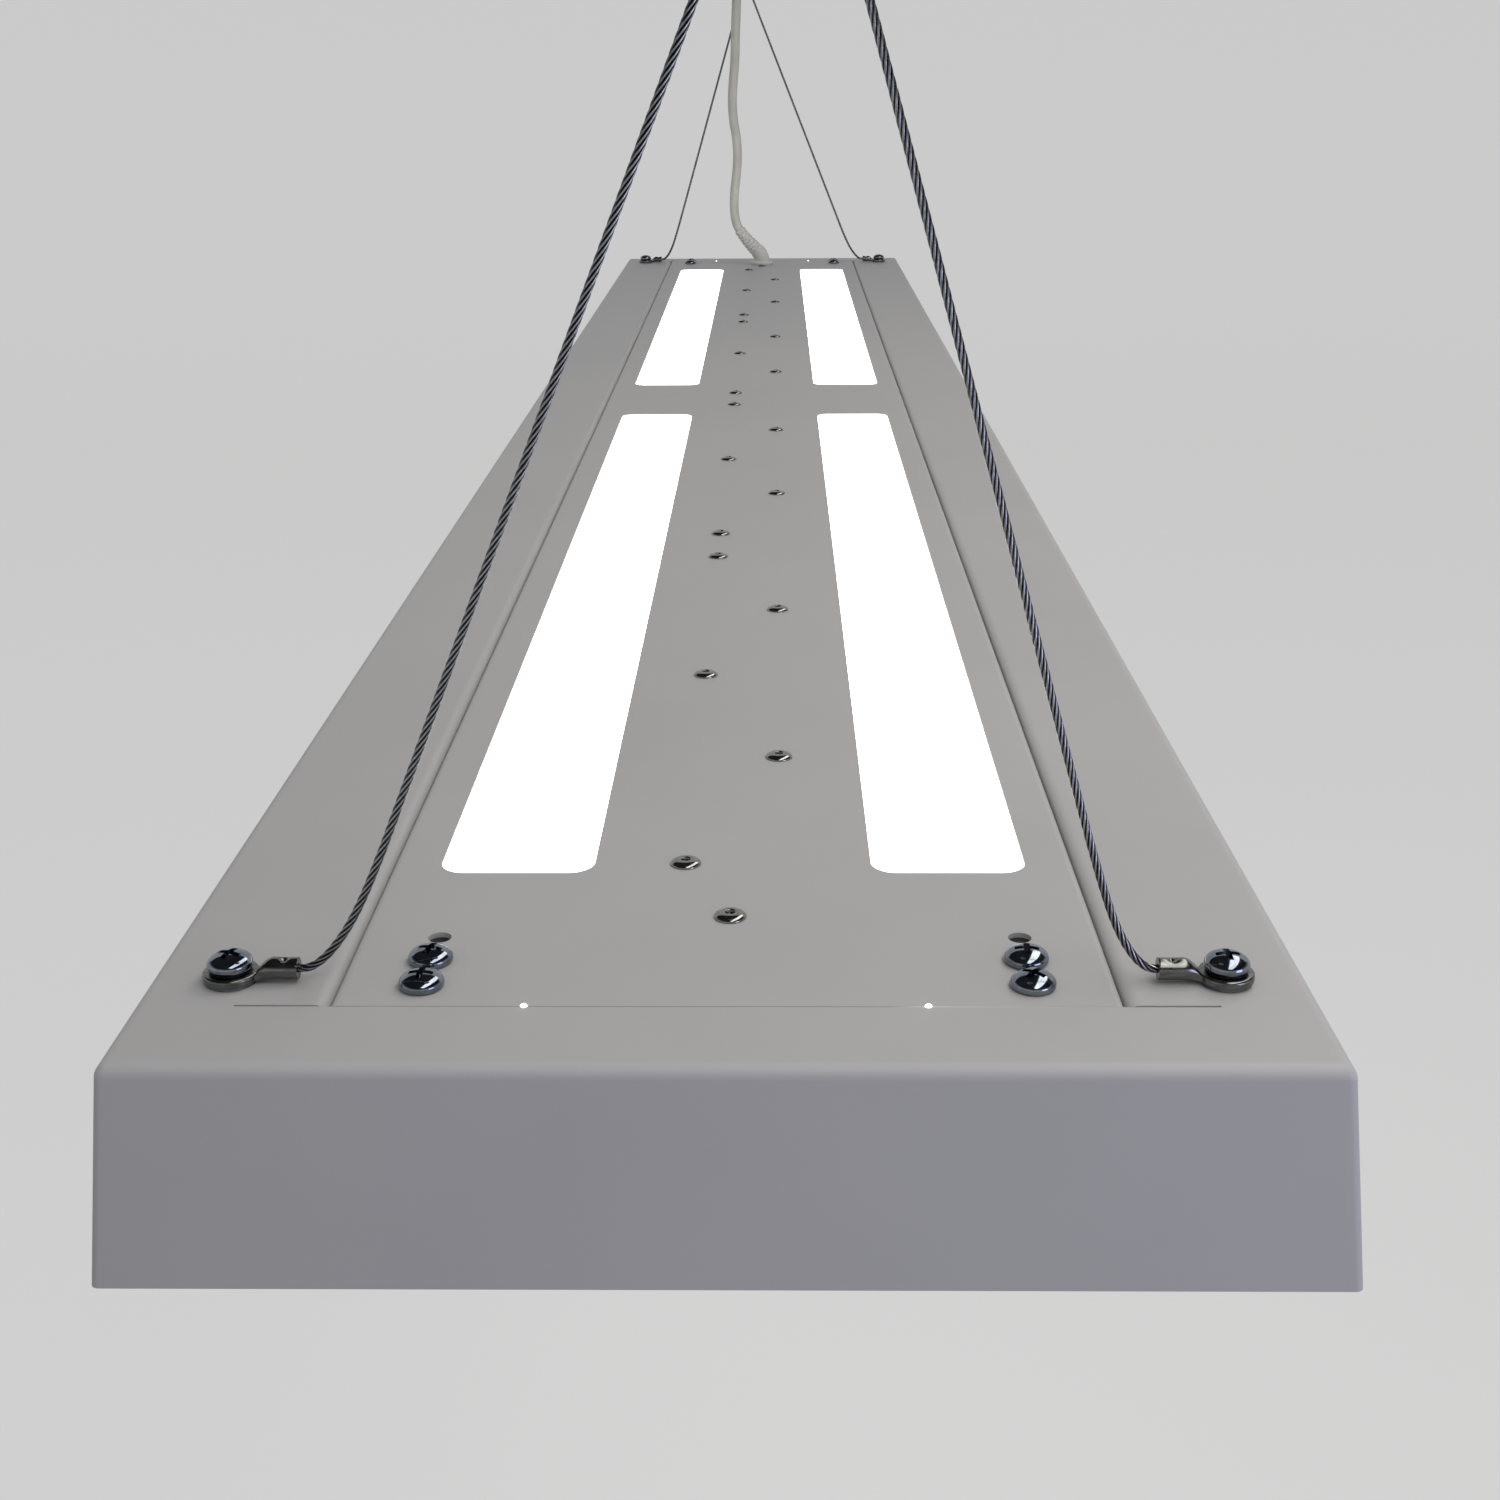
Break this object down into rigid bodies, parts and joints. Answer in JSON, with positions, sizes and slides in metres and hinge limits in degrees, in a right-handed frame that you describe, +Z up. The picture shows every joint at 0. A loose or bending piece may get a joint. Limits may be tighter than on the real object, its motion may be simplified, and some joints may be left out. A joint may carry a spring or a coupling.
{
  "type": "led pendant light",
  "caption": "Long flat LED pendant: a white folded steel tray with glowing slots on top and an opal diffuser below, hung level from the ceiling on two wire rope slings.",
  "frame": {"origin": "on the ceiling plane, straight above the middle of the tray, halfway between the two ceiling discs", "axes": "+Z up out of the ceiling, +Y along the tray away from its near end and towards the supply cord, +X to the right as seen from the near end"},
  "size_m": [0.2112, 1.2312, 0.2616],
  "materials": {
    "white_powder_coat": "fine textured white powder coat on folded steel",
    "opal_acrylic": "opal acrylic, lit from below",
    "opal_diffuser": "opal acrylic sheet, lit from above",
    "zinc_plated_steel": "bright blue-white zinc plate",
    "rivet_aluminium": "plain set blind rivets",
    "tinned_terminal": "tin plated, crimped",
    "galvanised_sheet": "galvanised",
    "reflector_white": "white reflector paint",
    "circuit_board": "white solder mask",
    "led_phosphor": "phosphor over chip",
    "driver_aluminium": "plain case",
    "white_nylon": "moulded nylon",
    "cord_sheath": "white soft sheath",
    "wire_rope": "galvanised strands",
    "satin_nickel": "satin nickel"
  },
  "bodies": {
    "ceiling": {"near_disc": "white_powder_coat", "far_disc": "white_powder_coat", "near_fork": "satin_nickel", "far_fork": "satin_nickel", "cord_bushing": "white_nylon"},
    "swivels": {"near_cross": "satin_nickel", "far_cross": "satin_nickel"},
    "far_sling": {"far_yoke": "satin_nickel", "far_left_cable": "wire_rope", "far_right_cable": "wire_rope"},
    "near_sling": {"near_yoke": "satin_nickel", "near_left_cable": "wire_rope", "near_right_cable": "wire_rope"},
    "lamp": {"tray": "white_powder_coat", "centre_panel": "white_powder_coat", "near_left_lens": "opal_acrylic", "near_right_lens": "opal_acrylic", "far_left_lens": "opal_acrylic", "far_right_lens": "opal_acrylic", "bottom_diffuser": "opal_diffuser", "bracket_screws": "zinc_plated_steel", "hanger_screws": "zinc_plated_steel", "hanger_washers": "zinc_plated_steel", "lock_washers": "zinc_plated_steel", "hanger_nuts": "zinc_plated_steel", "hanger_plates": "zinc_plated_steel", "driver_screws": "zinc_plated_steel", "rivets": "rivet_aluminium", "ring_terminals": "tinned_terminal", "near_bracket": "galvanised_sheet", "far_bracket": "galvanised_sheet", "left_pan": "reflector_white", "right_pan": "reflector_white", "up_boards": "circuit_board", "down_boards": "circuit_board", "up_leds": "led_phosphor", "down_leds": "led_phosphor", "left_driver": "driver_aluminium", "right_driver": "driver_aluminium", "cord_relief": "white_nylon", "relief_nut": "white_nylon", "terminal_block": "white_nylon", "supply_cord": "cord_sheath", "driver_leads": "cord_sheath", "supply_wires": "cord_sheath"}
  },
  "joints": [
    {"name": "rock", "type": "hinge", "parent": "ceiling", "child": "swivels", "pos_m": [-0.011, 0.5796, -0.022], "axis": [-0.019, 0.9998, 0], "range_deg": [-12, 12], "deforming": ["supply_cord"]},
    {"name": "far_sway", "type": "hinge", "parent": "swivels", "child": "far_sling", "pos_m": [-0.011, 0.5796, -0.022], "axis": [1, 0, 0], "range_deg": [-12, 12], "deforming": ["supply_cord"]},
    {"name": "near_sway", "type": "hinge", "parent": "swivels", "child": "near_sling", "pos_m": [0.011, -0.5796, -0.022], "axis": [1, 0, 0], "range_deg": [-12, 12]},
    {"name": "level", "type": "hinge", "parent": "far_sling", "child": "lamp", "pos_m": [0, 0.5796, -0.2195], "axis": [1, 0, 0], "range_deg": [-12, 12], "deforming": ["supply_cord"]}
  ],
  "couplings": [
    {"joint": "near_sway", "follows": "far_sway", "ratio": 1},
    {"joint": "level", "follows": "far_sway", "ratio": -1}
  ]
}
